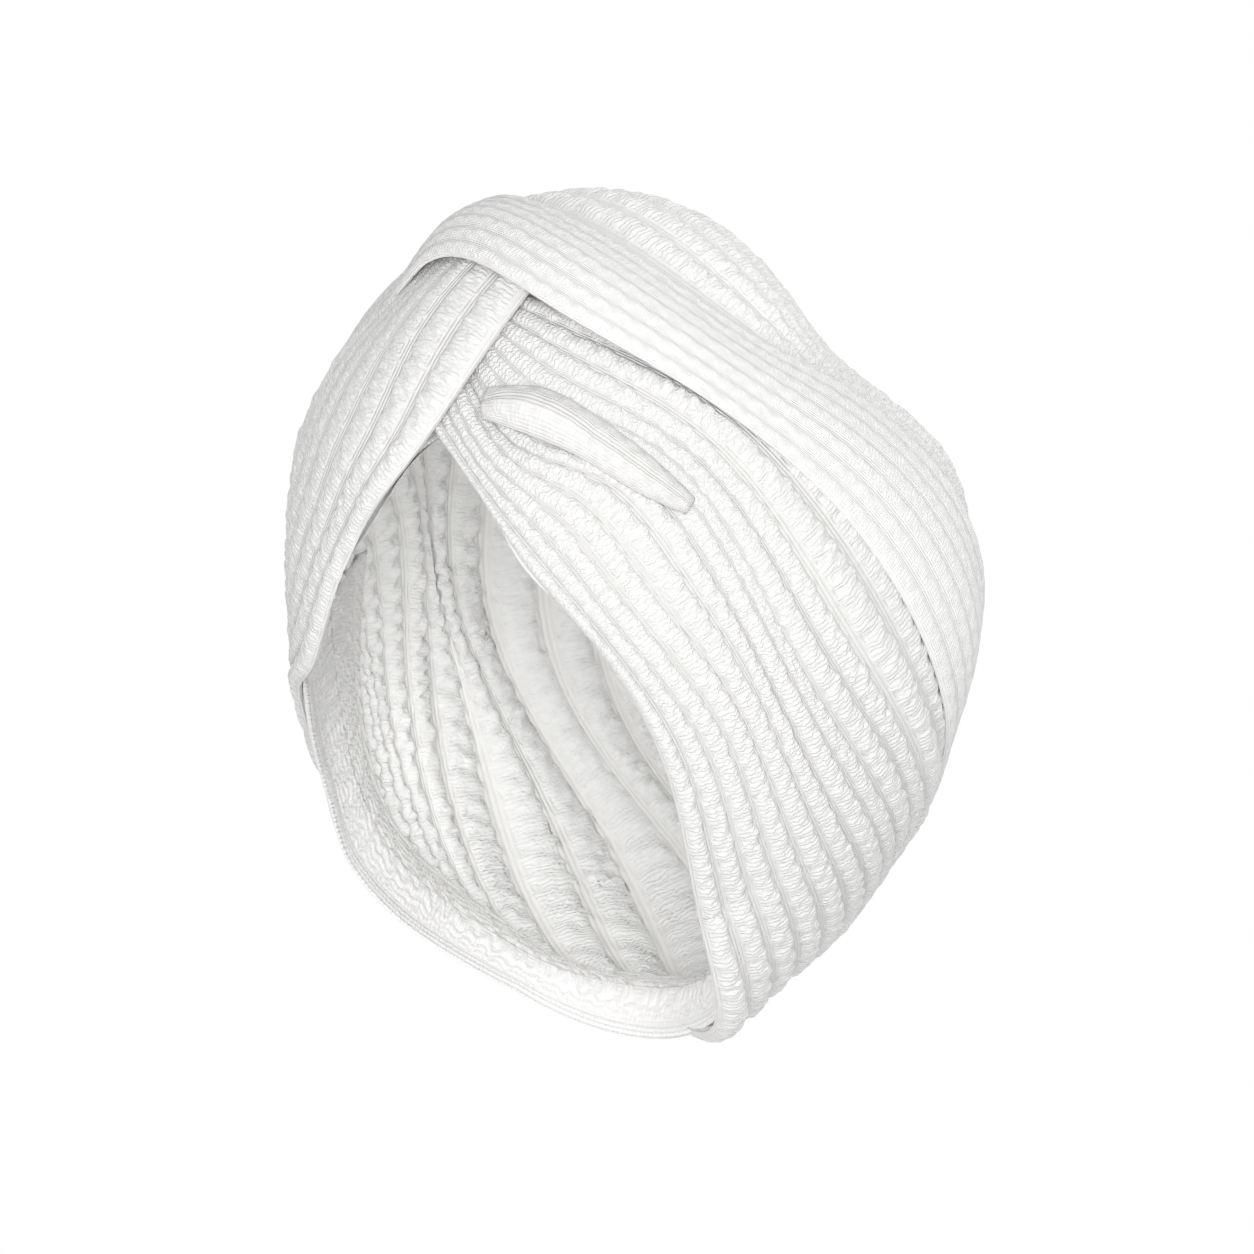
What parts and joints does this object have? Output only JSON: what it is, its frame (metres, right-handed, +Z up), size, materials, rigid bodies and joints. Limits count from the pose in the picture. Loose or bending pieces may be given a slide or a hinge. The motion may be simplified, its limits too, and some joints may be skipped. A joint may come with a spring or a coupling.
{
  "type": "turban headwrap",
  "caption": "Close-fitting ribbed knit turban cap with gathered panels crossed at the brow and an open face and neck, worn over the hair.",
  "frame": {"origin": "inner top of the crown on the middle line, where the cap rests on the top of the head", "axes": "+Z up as worn, -Y the way the face looks, +X the wearer's left"},
  "size_m": [0.1876, 0.209, 0.2089],
  "materials": {
    "crown_knit": "matte crinkled rib knit",
    "left_wrap_knit": "matte crinkled rib knit",
    "right_wrap_knit": "matte crinkled rib knit",
    "fold_knit": "matte crinkled rib knit, stretched smooth",
    "tuck_knit": "matte crinkled rib knit",
    "band_knit": "matte flat knit hem"
  },
  "bodies": {
    "root": {"crown": "crown_knit", "left_side_wrap": "left_wrap_knit", "right_side_wrap": "right_wrap_knit", "top_fold": "fold_knit", "side_tuck": "tuck_knit", "nape_band": "band_knit"}
  },
  "joints": []
}
